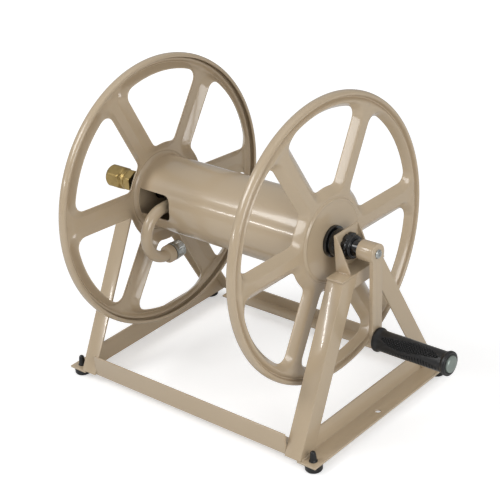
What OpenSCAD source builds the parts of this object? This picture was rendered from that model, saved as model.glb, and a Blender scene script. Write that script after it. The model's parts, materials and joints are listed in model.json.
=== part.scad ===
// Manual garden hose reel on a fixed steel stand.
// +X runs along the drum axis towards the crank, -Y is the front rail, +Z is up, the floor is Z = 0.
// The origin is the bottom centre of the bounding box of the whole reel.

/* [Reel] */
// outside diameter of the two pressed discs
reel_d = 420; // [340:1:480]
// inside width between the disc hubs, where the drum sits
drum_w = 326; // [260:1:400]
// outside diameter of the drum tube
drum_d = 112; // [100:1:134]
// thickness of the pressed disc sheet and of the drum wall
sheet_t = 2; // [1.4:0.1:3]
// width of one spoke between two windows
spoke_w = 41; // [30:0.5:50]
// radial width of the rolled rim, outside the windows
rim_w = 24; // [22:0.5:32]
// depth of the turned-in rim
rim_depth = 15; // [13:0.5:20]
// depth of the lip turned in around each window
lip_h = 7; // [4:0.5:10]
// diameter of the embossed ring on each hub
hub_ring_d = 120; // [112:1:140]
// turn of the right disc about the axle, in degrees
clock_right = 1; // [-30:0.5:30]
// turn of the left disc about the axle, in degrees
clock_left = 5; // [-30:0.5:30]

/* [Stand] */
// height of the axle above the floor
axle_h = 270; // [250:1:330]
// length of the side rails, front to back
base_l = 324; // [280:1:400]
// flange width of the side and front rails
rail_w = 32; // [28:0.5:40]
// flange width of the smaller rear rail
rear_w = 25; // [20:0.5:32]
// flange width of the legs
leg_w = 28; // [24:0.5:34]
// thickness of all the angle iron
angle_t = 3; // [2:0.25:4]
// distance from the disc hub face to the bearing plate
bearing_gap = 23.5; // [20:0.5:32]
// width of the bearing bracket, front to back
bracket_w = 53; // [48:0.5:64]
// height of the bearing bracket
bracket_h = 54.5; // [50:0.5:64]
// plate thickness of the bearing bracket
bracket_t = 2.5; // [2:0.25:4]
// diameter of the floor-fixing hole in each side rail
fix_hole_d = 9; // [7:0.25:11]
// diameter of a rubber foot
foot_d = 26; // [20:0.5:28]
// height of a rubber foot below the rail
foot_h = 11; // [8:0.5:16]

/* [Axle and crank] */
// diameter of the axle stubs
axle_d = 24; // [20:0.5:26]
// radial running clearance of the axle in a bushing
axle_clear = 0.05; // [0.02:0.01:0.09]
// from the axle to the grip spindle
crank_r = 128; // [100:1:160]
// crank turn from straight down towards the front, in degrees
crank_clock = 4.5; // [-30:0.5:30]
// width of the flat crank arm
arm_w = 21; // [20:0.5:28]
// thickness of the flat crank arm
arm_t = 6.5; // [5:0.25:8]
// length of the rubber grip
grip_l = 120; // [100:1:135]
// body diameter of the rubber grip
grip_d = 30; // [26:0.5:36]

/* [Water path] */
// outside diameter of the gooseneck pipe
pipe_d = 17.6; // [16:0.1:20]
// centreline radius of the gooseneck bend
bend_r = 38; // [34:0.5:42]
// from the disc hub face to the gooseneck, along the drum
goose_in = 50; // [46:1:60]
// length of the cut-out in the drum wall
cutout_l = 70; // [64:1:80]
// width of the cut-out in the drum wall
cutout_w = 40; // [34:1:46]
// hose thread radius at the inlet
inlet_r = 13.3; // [12.5:0.1:14]
// hose thread radius at the outlet
outlet_r = 13.1; // [12:0.1:14]
// outside diameter of the brass inlet coupling
coupling_d = 37; // [34:0.5:40]

/* [Hidden] */
e = 0.01;
$fn = 48;
// reel
reel_r = reel_d / 2;
drum_r = drum_d / 2;
hub_x = drum_w / 2 + sheet_t;
web_x = hub_x - 1.5;
ring_r = max(hub_ring_d / 2, drum_r + 4);
win_ro = reel_r - rim_w;
win_ri = ring_r + 18;
win_co = 13;
win_ci = 9;
spokes = 6;
axle_r = axle_d / 2;
bush_r = axle_r + axle_clear;
// stand
plate_x = hub_x + bearing_gap;
leg_x = plate_x + leg_w;
rail_x = leg_x - angle_t;
rail_o = rail_x - angle_t + rail_w;
flange_z = foot_h + angle_t;
half_l = base_l / 2;
brace_z = axle_h - 29.5;
brace_h = 20.5;
brace_y = 48;
leg_run = half_l - (brace_y - 2);
leg_rise = brace_z - angle_t - flange_z;
lean = atan2(leg_run, leg_rise);
leg_k = 1 / cos(lean);
foot_x = rail_o - foot_d / 2;
foot_y = half_l - foot_d / 2;
// bearing stack, outwards from the hub face
thrust_x = hub_x + 6.7;
bush_x = thrust_x + 0.3;
bush_flange_r = axle_r + 8;
bush_neck_r = axle_r + 2.5;
nut_x = plate_x + bracket_t;
nut_end = nut_x + 13;
// crank
hub_in = nut_end + 11.5;
arm_out = hub_in + 26.5;
arm_in = arm_out - arm_t;
crank_hub_r = axle_r + 2.5;
spindle_r = 5;
grip_x = arm_out + 1;
grip_end = grip_x + grip_l;
cap_end = grip_end + 5;
flange_r = grip_d / 2 + 2.5;
// water path
goose_x = -(hub_x - goose_in);
pipe_r = pipe_d / 2;
// the outlet hangs low enough for a hose coupling to pass under the drum
goose_r = max(bend_r, (drum_r + outlet_r + 6.9) / 2);
cut_x = -(hub_x - cutout_l);
body_x = -(nut_end + 14);
body_end = body_x - 15;
spigot_r = 9;
inlet_x = body_end - 0.5;
inlet_end = inlet_x - 36;
// the whole reel is slid along X so that the bounding box is centred
frame_x = -(cap_end + inlet_end) / 2;

beige = [0.745, 0.675, 0.576];
black = [0.07, 0.07, 0.075];
zinc = [0.72, 0.74, 0.76];
brass = [0.72, 0.6, 0.3];

// ---- helpers ----
module placed() { translate([frame_x, 0, 0]) children(); }
module at_axle() { translate([frame_x, 0, axle_h]) children(); }
module flip(s) { if (s > 0) children(); else mirror([1, 0, 0]) children(); }
module flip_y(s) { if (s > 0) children(); else mirror([0, 1, 0]) children(); }
module xcyl(x0, x1, r) { translate([min(x0, x1), 0, 0]) rotate([0, 90, 0]) cylinder(r = r, h = abs(x1 - x0)); }
module xring(x0, x1, ro, ri) {
  difference() {
    xcyl(x0, x1, ro);
    xcyl(min(x0, x1) - 1, max(x0, x1) + 1, ri);
  }
}
module ycyl(y0, y1, r) { translate([0, max(y0, y1), 0]) rotate([90, 0, 0]) cylinder(r = r, h = abs(y1 - y0)); }
// section of an angle iron, corner at the origin
module angle2d(a, b, t) {
  polygon([[0, 0], [a, 0], [a, t], [t, t], [t, b], [0, b]]);
}

// ---- stand ----
// side rail: one flange flat on the feet and pointing outwards, one standing on its inner edge;
// the standing flange is cut back to the inner faces of the leaning legs
module side_rail(s) {
  cope = leg_run / leg_rise;
  placed() flip(s) difference() {
    translate([rail_x - angle_t, half_l, foot_h]) rotate([90, 0, 0])
      linear_extrude(base_l) angle2d(rail_w, rail_w, angle_t);
    for (k = [-1, 1]) flip_y(k) translate([rail_x - angle_t - 1, 0, flange_z]) rotate([90, 0, 90])
      linear_extrude(angle_t + 1) polygon([[-half_l - 1, 0], [-half_l + angle_t * leg_k, 0],
        [-half_l + angle_t * leg_k + rail_w * cope, rail_w], [-half_l - 1, rail_w]]);
    translate([foot_x, 0, foot_h - 1]) cylinder(d = fix_hole_d, h = angle_t + 2);
    for (y = [-foot_y, foot_y])
      translate([foot_x, y, foot_h - 1]) cylinder(r = 5, h = angle_t + 2);
  }
}
module rail_left() color(beige) side_rail(-1);
module rail_right() color(beige) side_rail(1);

// cross rail between the legs: a standing outer face and a flange turned in at the bottom
module cross_rail(w, y) {
  placed() translate([-plate_x, 0, 0]) rotate([90, 0, 90]) linear_extrude(2 * plate_x)
    translate([y, flange_z]) angle2d(w, w, angle_t);
}
module rail_front() color(beige) cross_rail(rail_w, -half_l + angle_t * leg_k);
module rail_rear() color(beige) placed() translate([-plate_x, 0, 0]) rotate([90, 0, 90])
  linear_extrude(2 * plate_x) translate([half_l - angle_t * leg_k, flange_z])
    polygon([[0, 0], [-rear_w, 0], [-rear_w, angle_t], [-angle_t, angle_t],
      [-angle_t, rear_w - 4], [0, rear_w - 4]]);

// leg: leaning angle iron, side flange outside, cut level at the foot and at the brace
module leg(sx, sy) {
  placed() flip(sx) flip_y(-sy) translate([0, -half_l, flange_z])
    intersection() {
      multmatrix([[1, 0, 0, 0], [0, 1, leg_run / leg_rise, 0], [0, 0, 1, 0], [0, 0, 0, 1]])
        linear_extrude(leg_rise) translate([leg_x, 0]) polygon([[0, 0], [-leg_w, 0],
          [-leg_w, angle_t * leg_k], [-angle_t, angle_t * leg_k], [-angle_t, leg_w * leg_k],
          [0, leg_w * leg_k]]);
      translate([0, -10, 0]) cube([leg_x + 10, half_l + 20, leg_rise]);
    }
}
module leg_front_left() color(beige) leg(-1, -1);
module leg_rear_left() color(beige) leg(-1, 1);
module leg_front_right() color(beige) leg(1, -1);
module leg_rear_right() color(beige) leg(1, 1);

// brace: level top flange over both legs, outer flange filling the gap between the leg flanges
module brace(s) {
  y_top = brace_y - 2 - leg_w * leg_k;
  y_low = y_top + (brace_h - angle_t) * leg_run / leg_rise;
  placed() flip(s) {
    translate([plate_x, -brace_y, brace_z - angle_t]) cube([leg_w, 2 * brace_y, angle_t]);
    translate([leg_x - angle_t, 0, 0]) rotate([90, 0, 90]) linear_extrude(angle_t)
      polygon([[-y_low, brace_z - brace_h], [y_low, brace_z - brace_h],
        [y_top, brace_z - angle_t], [-y_top, brace_z - angle_t]]);
  }
}
module brace_left() color(beige) brace(-1);
module brace_right() color(beige) brace(1);

// bearing bracket: upright plate with a gusset folded out at each edge
module bracket(s) {
  g = leg_w - 4;
  placed() flip(s) {
    difference() {
      translate([plate_x, -bracket_w / 2, brace_z]) cube([bracket_t, bracket_w, bracket_h]);
      translate([0, 0, axle_h]) xcyl(plate_x - 1, plate_x + bracket_t + 1, bush_neck_r);
    }
    for (y = [-bracket_w / 2, bracket_w / 2 - bracket_t])
      translate([plate_x, y + bracket_t, brace_z]) rotate([90, 0, 0]) linear_extrude(bracket_t)
        polygon([[bracket_t - e, 0], [g, 0], [g, 3], [bracket_t + 1, bracket_h],
          [bracket_t - e, bracket_h]]);
  }
}
module bracket_left() color(beige) bracket(-1);
module bracket_right() color(beige) bracket(1);

// nylon bushing: thick inner flange, neck through the bracket plate
module bushing(s) {
  at_axle() flip(s) difference() {
    union() {
      xcyl(bush_x, bush_x + 4, bush_flange_r);
      xcyl(bush_x + 4 - e, plate_x - 4, bush_flange_r - 3);
      xcyl(plate_x - 4 - e, plate_x, bush_flange_r);
      xcyl(plate_x - e, nut_end, bush_neck_r);
    }
    xcyl(bush_x - 1, nut_end + 1, bush_r);
  }
}
module bushing_left() color(black) bushing(-1);
module bushing_right() color(black) bushing(1);

// retaining nut on the bushing neck, stepped down towards the crank
module bushing_nut(s) {
  at_axle() flip(s) difference() {
    union() {
      xcyl(nut_x, nut_x + 8, bush_flange_r - 1);
      xcyl(nut_x + 8 - e, nut_end, bush_neck_r + 2.5);
    }
    xcyl(nut_x - 1, nut_end + 1, bush_neck_r);
    for (a = [0 : 45 : 315]) rotate([a, 0, 0])
      translate([nut_x + 4, 0, bush_flange_r + 0.6]) rotate([0, 90, 0]) cylinder(r = 2.6, h = 12);
  }
}
module bushing_nut_left() color(black) bushing_nut(-1);
module bushing_nut_right() color(black) bushing_nut(1);

// four push-in rubber feet: pad, neck through the rail, tapered nub above
module feet() color(black) placed()
  for (sx = [-1, 1], sy = [-1, 1]) translate([sx * foot_x, sy * foot_y, 0]) {
    rotate_extrude() polygon([[0, 0], [foot_d / 2 - 1.5, 0], [foot_d / 2, 1.5],
      [foot_d / 2, foot_h], [5, foot_h], [5, flange_z], [6.2, flange_z], [6.2, flange_z + 2],
      [4.2, flange_z + 14], [3, flange_z + 16], [0, flange_z + 16]]);
  }

// ---- reel ----
// window between two spokes, drawn about its own centre line; grow widens it into the sheet
function arc_pts(c, r, a0, a1, n) = [for (k = [0 : n]) let (a = a0 + k * (a1 - a0) / n)
  [c[0] + r * cos(a), c[1] + r * sin(a)]];
function flip_pts(p) = [for (k = [len(p) - 1 : -1 : 0]) [p[k][0], -p[k][1]]];
module window2d(grow) {
  w = spoke_w / 2 - grow;
  ro = win_ro + grow;
  ri = win_ri - grow;
  co = win_co + grow;
  ci = win_ci + grow;
  h = 180 / spokes;
  bo = h - asin((w + co) / (ro - co));
  bi = h - asin((w + ci) / (ri + ci));
  rim = arc_pts([0, 0], ro, 0, bo, 4);
  corner_o = arc_pts([(ro - co) * cos(bo), (ro - co) * sin(bo)], co, bo, 90 + h, 6);
  corner_i = arc_pts([(ri + ci) * cos(bi), (ri + ci) * sin(bi)], ci, 90 + h, 180 + bi, 5);
  hub = arc_pts([0, 0], ri, bi, 0, 2);
  half = concat([for (k = [0 : 3]) rim[k]], corner_o, [for (k = [0 : 4]) corner_i[k]], hub);
  other = flip_pts(half);
  polygon(concat(half, [for (k = [1 : len(other) - 2]) other[k]]));
}
// half section of the pressed disc: radius across, outward distance up
module disc_section() {
  t = sheet_t;
  bead = 6;
  rb = reel_r - bead;
  xb = web_x - 3;
  // hub plate and its embossed step
  translate([axle_r, hub_x - t]) square([ring_r - axle_r, t]);
  translate([ring_r - 1, web_x - t]) square([2, hub_x - web_x + t]);
  // web that carries the windows
  translate([ring_r, web_x - t]) square([win_ro + 2 - ring_r, t]);
  // ridge between the windows and the bead
  translate([win_ro + 8, web_x - t]) difference() {
    circle(r = 4.5, $fn = 20);
    circle(r = 4.5 - t, $fn = 20);
    translate([-6, -6]) square([12, 6]);
  }
  translate([win_ro + 1, web_x - t]) square([4.5, t]);
  translate([win_ro + 10.7, web_x - t]) square([rb - bead + t - win_ro - 10.7, t]);
  // rolled bead and its turned-in edge
  translate([rb, xb]) difference() {
    circle(r = bead, $fn = 28);
    circle(r = bead - t, $fn = 28);
    translate([-bead - 1, -bead - 1]) square([2 * bead + 2, bead + 1]);
  }
  translate([reel_r - t, xb + bead - rim_depth]) square([t, rim_depth - bead]);
}
module disc(s, clock) {
  at_axle() rotate([clock, 0, 0]) flip(s) difference() {
    union() {
      rotate([0, 90, 0]) rotate_extrude($fn = 96) disc_section();
      for (i = [0 : spokes - 1]) rotate([i * 360 / spokes, 0, 0])
        translate([web_x - lip_h, 0, 0]) rotate([90, 0, 90])
          rotate([0, 0, 90]) linear_extrude(lip_h - e) window2d(sheet_t);
    }
    for (i = [0 : spokes - 1]) rotate([i * 360 / spokes, 0, 0])
      translate([web_x - lip_h - 5, 0, 0]) rotate([90, 0, 90])
        rotate([0, 0, 90]) linear_extrude(lip_h + 12) window2d(0);
  }
}
module disc_left() color(beige) disc(-1, -clock_left);
module disc_right() color(beige) disc(1, -clock_right);

// drum tube with the cut-out for the gooseneck at its left end
module drum() color(beige) at_axle() difference() {
  xring(-drum_w / 2, drum_w / 2, drum_r, drum_r - sheet_t);
  translate([-hub_x, -drum_r - 5, 4 - cutout_w / 2]) {
    cube([cutout_l - 12, drum_r, cutout_w]);
    translate([0, 0, 12]) cube([cutout_l, drum_r, cutout_w - 24]);
    for (z = [12, cutout_w - 12]) translate([cutout_l - 12, drum_r, z])
      rotate([90, 0, 0]) cylinder(r = 12, h = drum_r, $fn = 32);
  }
}

// axle stub: weld flange on the hub, thrust shoulder, journal
module axle_flange() {
  xcyl(hub_x, hub_x + 5, axle_r + 11);
  xcyl(hub_x + 5 - e, thrust_x, axle_r + 5);
}
module axle_right() color(black) at_axle() difference() {
  union() {
    xcyl(drum_w / 2 - 12, arm_out - 6, axle_r);
    axle_flange();
  }
  xcyl(arm_out - 26, arm_out, 3);
}
module axle_left() color(black) at_axle() difference() {
  union() {
    xcyl(body_x - 13, goose_x - 10, axle_r);
    mirror([1, 0, 0]) axle_flange();
  }
  xcyl(body_x - 14, goose_x, 7.5);
}

// elbow inside the drum, from the hollow axle to the gooseneck
module supply_elbow() color(zinc) at_axle() translate([goose_x, 0, 0]) difference() {
  union() {
    xcyl(-30, 0, axle_r + 3);
    sphere(r = axle_r + 3, $fn = 40);
    ycyl(0, -26, axle_r + 1);
  }
  xcyl(-31, -10, axle_r);
  xcyl(-11, 0, 7);
  sphere(r = 7, $fn = 24);
  ycyl(0, -14, pipe_r - 2);
  ycyl(-12, -27, pipe_r);
}

// gooseneck pipe: out of the drum cut-out, half a turn down and back under the drum
module gooseneck() color(beige) at_axle() translate([goose_x, 0, 0]) difference() {
  union() {
    ycyl(-12, -50, pipe_r);
    translate([0, -50, -goose_r]) rotate([0, 90, 0]) rotate([0, 0, 180])
      rotate_extrude(angle = 180, $fn = 48) translate([goose_r, 0]) circle(r = pipe_r, $fn = 24);
    translate([0, 0, -2 * goose_r]) {
      ycyl(-50, -36, pipe_r);
      ycyl(-53, -41, pipe_r + 4.7);
    }
  }
  ycyl(-11, -50, pipe_r - 2);
  translate([0, -50, -goose_r]) rotate([0, 90, 0]) rotate([0, 0, 180])
    rotate_extrude(angle = 180, $fn = 48) translate([goose_r, 0]) circle(r = pipe_r - 2, $fn = 24);
  translate([0, 0, -2 * goose_r]) ycyl(-50, -35, pipe_r - 2);
}
// zinc hose connector pushed on the end of the gooseneck: shoulder, then the hose thread
module hose_connector() color(zinc) at_axle() translate([goose_x, 0, -2 * goose_r]) difference() {
  union() {
    ycyl(-39.5, -34, outlet_r + 0.6);
    ycyl(-34 - e, -22, outlet_r);
  }
  ycyl(-40, -36, pipe_r);
  ycyl(-36 - e, -21, pipe_r - 2);
}
module connector_washer() color(black) at_axle() translate([goose_x, 0, -2 * goose_r]) difference() {
  ycyl(-41, -39.5, outlet_r - 0.3);
  ycyl(-42, -38, pipe_r);
}

// crank: hub over the axle end, flat arm, boss for the spindle
module crank() color(beige) at_axle() rotate([-crank_clock, 0, 0]) difference() {
  union() {
    xcyl(hub_in, arm_out, crank_hub_r);
    translate([arm_in, -arm_w / 2, -crank_r]) cube([arm_t, arm_w, crank_r]);
    translate([0, 0, -crank_r]) xcyl(arm_in, arm_out, arm_w / 2);
  }
  xcyl(hub_in - 1, arm_out - 6, axle_r);
  xcyl(arm_out - 7, arm_out + 1, 3.2);
  translate([0, 0, -crank_r]) xcyl(arm_in - 1, arm_out + 1, spindle_r - 1);
}
module crank_screw() color(zinc) at_axle() difference() {
  union() {
    xcyl(arm_out - 22, arm_out + e, 3);
    translate([arm_out, 0, 0]) rotate([0, 90, 0]) cylinder(r1 = 6.6, r2 = 6.2, h = 1.6);
    translate([arm_out + 1.6 - e, 0, 0]) rotate([0, 90, 0]) cylinder(r1 = 6.2, r2 = 3.6, h = 1.4);
  }
  for (a = [20, 110]) rotate([a, 0, 0]) translate([arm_out + 1.4, -0.6, -3]) cube([3, 1.2, 6]);
}

// spindle: riveted through the arm, carries the grip between two shoulders
module grip_spindle() color(zinc) at_axle() rotate([-crank_clock, 0, 0]) translate([0, 0, -crank_r]) {
  xcyl(arm_in - 2.5, arm_in, spindle_r + 2);
  xcyl(arm_in - e, arm_out, spindle_r - 1);
  xcyl(arm_out, arm_out + 0.7, spindle_r + 4);
  xcyl(arm_out + 0.7 - e, grip_end + 1, spindle_r);
}
// grip: rubber sleeve, a flange at each end
module grip() color(black) at_axle() rotate([-crank_clock, 0, 0]) translate([0, 0, -crank_r])
  difference() {
    rotate([0, 90, 0]) rotate_extrude() polygon([[spindle_r + axle_clear, grip_x],
      [flange_r - 1, grip_x], [flange_r, grip_x + 1.5], [flange_r, grip_x + 4.5],
      [grip_d / 2 + 0.5, grip_x + 8], [grip_d / 2, grip_x + 14], [grip_d / 2, grip_end - 14],
      [grip_d / 2 + 0.5, grip_end - 9], [flange_r, grip_end - 5], [flange_r, grip_end - 1.5],
      [flange_r - 1, grip_end], [12.7, grip_end], [12.7, grip_end - 2.5],
      [spindle_r + axle_clear, grip_end - 2.5]]);
  }
// domed end cap fixed to the spindle, running in the mouth of the grip
module grip_cap() color(zinc) at_axle() rotate([-crank_clock, 0, 0]) translate([0, 0, -crank_r])
  difference() {
    rotate([0, 90, 0]) rotate_extrude() polygon([[0, grip_end - 2.2], [12.3, grip_end - 2.2],
      [12.3, grip_end + 1.8], [11.3, grip_end + 3.1], [9, grip_end + 4], [5, grip_end + 4.8],
      [0, cap_end]]);
    xcyl(grip_end - 4, grip_end + 1, spindle_r);
  }

// ---- brass inlet swivel ----
module swivel_body() color(brass) at_axle() difference() {
  union() {
    rotate([0, -90, 0]) translate([0, 0, -body_x]) cylinder(r = axle_r + 5.5, h = 12, $fn = 6);
    xcyl(body_x - 12 + e, body_end, axle_r + 2.5);
    xcyl(body_end + e, body_end - 19, spigot_r);
    xcyl(body_end - 19 + e, body_end - 21, spigot_r + 2);
  }
  xcyl(body_x + 1, body_x - 13, axle_r);
  xcyl(body_x, body_end - 22, 6);
  xring(body_end - 8, body_end - 11, spigot_r + 1, spigot_r - 1.4);
}
module swivel_seal() color(black) at_axle()
  xring(body_end - 8.2, body_end - 10.8, spigot_r, spigot_r - 1.4);
module swivel_inlet() color(brass) at_axle() difference() {
  union() {
    xcyl(inlet_x, inlet_x - 6, coupling_d / 2 - 4);
    rotate([0, -90, 0]) translate([0, 0, -inlet_x + 6 - e]) rotate_extrude($fn = 48)
      polygon([[0, 0], [coupling_d / 2 - 3, 0], [coupling_d / 2, 4], [coupling_d / 2, 24],
        [coupling_d / 2 - 3, 30 + e], [0, 30 + e]]);
  }
  xcyl(inlet_x + 1, inlet_x - 18.3, spigot_r + axle_clear);
  xcyl(inlet_x - 18, inlet_x - 22.5, spigot_r + 2.4);
  xcyl(inlet_x - 22.4, inlet_x - 24.5, inlet_r - 1);
  xcyl(inlet_x - 24.4, inlet_end - 1, inlet_r);
}
// flat seal in its own seat below the thread
module inlet_washer() color(black) at_axle() xring(inlet_x - 22.5, inlet_x - 24.4, inlet_r - 1, 7.5);

rail_left();
rail_right();
rail_front();
rail_rear();
leg_front_left();
leg_rear_left();
leg_front_right();
leg_rear_right();
brace_left();
brace_right();
bracket_left();
bracket_right();
bushing_left();
bushing_right();
bushing_nut_left();
bushing_nut_right();
feet();
disc_left();
disc_right();
drum();
axle_left();
axle_right();
supply_elbow();
gooseneck();
hose_connector();
connector_washer();
crank();
crank_screw();
grip_spindle();
grip();
grip_cap();
swivel_body();
swivel_seal();
swivel_inlet();
inlet_washer();
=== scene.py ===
import json
import math

import bmesh
import bpy
import numpy as np
from mathutils import Matrix, Vector

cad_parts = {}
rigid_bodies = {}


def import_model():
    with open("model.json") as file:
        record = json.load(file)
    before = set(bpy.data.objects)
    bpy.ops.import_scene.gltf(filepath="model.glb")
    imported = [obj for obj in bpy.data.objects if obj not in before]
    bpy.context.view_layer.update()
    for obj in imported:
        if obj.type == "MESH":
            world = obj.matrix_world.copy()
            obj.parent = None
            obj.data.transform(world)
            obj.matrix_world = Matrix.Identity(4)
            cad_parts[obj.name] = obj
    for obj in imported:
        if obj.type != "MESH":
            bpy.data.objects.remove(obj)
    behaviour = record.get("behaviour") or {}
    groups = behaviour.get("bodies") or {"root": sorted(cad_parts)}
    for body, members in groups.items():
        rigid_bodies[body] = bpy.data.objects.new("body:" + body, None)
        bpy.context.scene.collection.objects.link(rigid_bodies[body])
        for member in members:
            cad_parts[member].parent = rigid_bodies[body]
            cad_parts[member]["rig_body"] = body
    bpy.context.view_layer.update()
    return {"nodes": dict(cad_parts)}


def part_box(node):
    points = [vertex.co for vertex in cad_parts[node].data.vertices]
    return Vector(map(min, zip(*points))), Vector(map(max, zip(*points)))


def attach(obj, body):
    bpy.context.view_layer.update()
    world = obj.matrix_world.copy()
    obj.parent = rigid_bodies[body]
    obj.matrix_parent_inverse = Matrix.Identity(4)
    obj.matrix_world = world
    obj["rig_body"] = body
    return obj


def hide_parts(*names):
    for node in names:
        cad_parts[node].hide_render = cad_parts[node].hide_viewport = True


# ---------------------------------------------------------------- frame
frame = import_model()
NODES = frame["nodes"]
MM = 0.001
X, Y, Z = Vector((1, 0, 0)), Vector((0, 1, 0)), Vector((0, 0, 1))

drum_lo, drum_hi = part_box("drum")
disc_lo, disc_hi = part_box("disc_right")
CX = (drum_lo.x + drum_hi.x) / 2          # middle of the drum, along the axle
CZ = (drum_lo.z + drum_hi.z) / 2          # height of the axle
DRUM_R = (drum_hi.z - drum_lo.z) / 2 / MM
DRUM_L = (drum_hi.x - drum_lo.x) / 2 / MM
REEL_R = (disc_hi.z - disc_lo.z) / 2 / MM


def at(x, y, z):
    """A point given in millimetres from the middle of the axle."""
    return Vector((CX + x * MM, y * MM, CZ + z * MM))


def end_x(node, side):
    """Left (0) or right (1) end of a node, in millimetres from the middle of the axle."""
    return (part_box(node)[side].x - CX) / MM


# ---------------------------------------------------------------- camera
FRAME_PX, SENSOR = 500, 36                # width of the square frame, in pixels and on the sensor
CAM_F, CAM_AZ, CAM_EL, CAM_ROLL = 1462.2, 42.924, 26.744, -5.059    # pixels, then degrees
CAM_DIST, CAM_TARGET = 2140.2, (7.8, 0.0, 212.9)          # mm; the target's z is from the floor


def make_camera():
    """The photograph's viewing angle, without any shift."""
    azimuth, elevation, roll = (math.radians(v) for v in (CAM_AZ, CAM_EL, CAM_ROLL))
    back = Vector((math.sin(azimuth) * math.cos(elevation), -math.cos(azimuth) * math.cos(elevation),
                   math.sin(elevation)))
    level = Vector((math.cos(azimuth), math.sin(azimuth), 0))
    upright = back.cross(level)
    right = level * math.cos(roll) + upright * math.sin(roll)
    up = upright * math.cos(roll) - level * math.sin(roll)
    target = Vector((CX + CAM_TARGET[0] * MM, CAM_TARGET[1] * MM, CAM_TARGET[2] * MM))
    place = Matrix((right, up, back)).transposed().to_4x4()
    place.translation = target + back * CAM_DIST * MM
    cam = bpy.data.objects.new("camera", bpy.data.cameras.new("camera"))
    cam.data.sensor_width = SENSOR
    cam.data.lens = CAM_F / FRAME_PX * SENSOR
    cam.data.clip_end = 60
    cam.matrix_world = place
    bpy.context.scene.collection.objects.link(cam)
    bpy.context.scene.camera = cam


make_camera()


# ---------------------------------------------------------------- materials
def srgb(*rgb):
    """A colour written in 0 to 255 steps, as linear values for a shader socket."""
    return tuple(v / 255 / 12.92 if v <= 10 else ((v / 255 + 0.055) / 1.055) ** 2.4 for v in rgb) + (1,)


class Shade:
    """A small wrapper that adds nodes to one material."""

    def __init__(self, name):
        self.mat = bpy.data.materials.new(name)
        self.mat.use_nodes = True
        self.tree = self.mat.node_tree
        self.bsdf = self.tree.nodes["Principled BSDF"]
        self.coord = self.tree.nodes.new("ShaderNodeTexCoord").outputs["Object"]

    def put(self, socket, value):
        if isinstance(value, bpy.types.NodeSocket):
            self.tree.links.new(value, socket)
        else:
            socket.default_value = value

    def node(self, kind, out=0, props=None, **ins):
        n = self.tree.nodes.new("ShaderNode" + kind)
        for key, value in (props or {}).items():
            setattr(n, key, value)
        for key, value in ins.items():
            if key[0] == "_":
                self.put(n.inputs[int(key[1:])], value)
            else:
                self.put(n.inputs[key.replace("_", " ")], value)
        return n.outputs[out]

    def noise(self, scale, detail=3, rough=0.5, stretch=None):
        vec = self.coord
        if stretch:
            vec = self.node("Mapping", Vector=vec, Scale=stretch)
        return self.node("TexNoise", Vector=vec, Scale=scale, Detail=detail, Roughness=rough)

    def ramp(self, fac, a, b, lo=0.0, hi=1.0):
        return self.node("MapRange", _0=fac, _1=a, _2=b, _3=lo, _4=hi)

    def mix(self, fac, a, b):
        n = self.tree.nodes.new("ShaderNodeMix")
        n.data_type = "RGBA"
        self.put(n.inputs[0], fac)
        self.put(n.inputs[6], a)
        self.put(n.inputs[7], b)
        return n.outputs[2]

    def math(self, op, a, b=0.0):
        return self.node("Math", props={"operation": op}, _0=a, _1=b)

    def edge(self, radius):
        """Mask of the convex and concave edges, and the softened normal there."""
        soft = self.node("Bevel", props={"samples": 6}, Radius=radius)
        true = self.node("NewGeometry", out="True Normal")
        dot = self.node("VectorMath", out="Value", props={"operation": "DOT_PRODUCT"}, _0=soft, _1=true)
        return self.ramp(self.math("SUBTRACT", 1.0, dot), 0.02, 0.2), soft

    def bump(self, height, strength, distance, normal):
        bumped = self.node("Bump", Height=height, Strength=strength, Distance=distance, Normal=normal)
        self.put(self.bsdf.inputs["Normal"], bumped)

    def set(self, **ins):
        for key, value in ins.items():
            self.put(self.bsdf.inputs[key.replace("_", " ")], value)
        return self.mat


def paint_material():
    """Glossy beige powder coat with a slight orange peel, and a painted highlight on its edges."""
    s = Shade("beige_powder_coat")
    wide = s.noise(3, 2)
    fine = s.noise(900, 2, 0.5)
    tone = s.mix(s.ramp(wide, 0.3, 0.7), srgb(186, 167, 140), srgb(190, 171, 144))
    tone = s.mix(s.ramp(fine, 0.45, 0.8, 0, 0.1), tone, srgb(174, 154, 127))
    highlight_mask, soft = s.edge(0.0011)
    # painted highlight: convex and concave edges are mixed towards a pale beige
    tone = s.mix(s.math("MULTIPLY", highlight_mask, 0.35), tone, srgb(224, 208, 184))
    rough = s.ramp(s.noise(8, 2), 0.3, 0.7, 0.2, 0.235)
    peel = s.noise(520, 2, 0.4)
    s.bump(peel, 0.035, 0.0003, soft)
    return s.set(Base_Color=tone, Roughness=rough, Coat_Weight=0.5, Coat_Roughness=0.07, IOR=1.5)


def black_material(name, low, high, rough_lo, rough_hi, grain, strength, coat):
    """Black rubber, plastic or enamel: cloudy tone, a painted highlight on the edges, a fine grain."""
    s = Shade(name)
    cloud = s.noise(30, 4)
    tone = s.mix(s.ramp(cloud, 0.35, 0.7), low, high)
    highlight_mask, soft = s.edge(0.0005)
    # painted highlight: the edges are mixed towards a mid grey
    tone = s.mix(s.math("MULTIPLY", highlight_mask, 0.25), tone, srgb(60, 60, 62))
    rough = s.ramp(s.noise(90, 3), 0.3, 0.7, rough_lo, rough_hi)
    s.bump(s.noise(grain, 3, 0.6), strength, 0.0003, soft)
    return s.set(Base_Color=tone, Roughness=rough, Coat_Weight=coat, Coat_Roughness=0.08)


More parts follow.
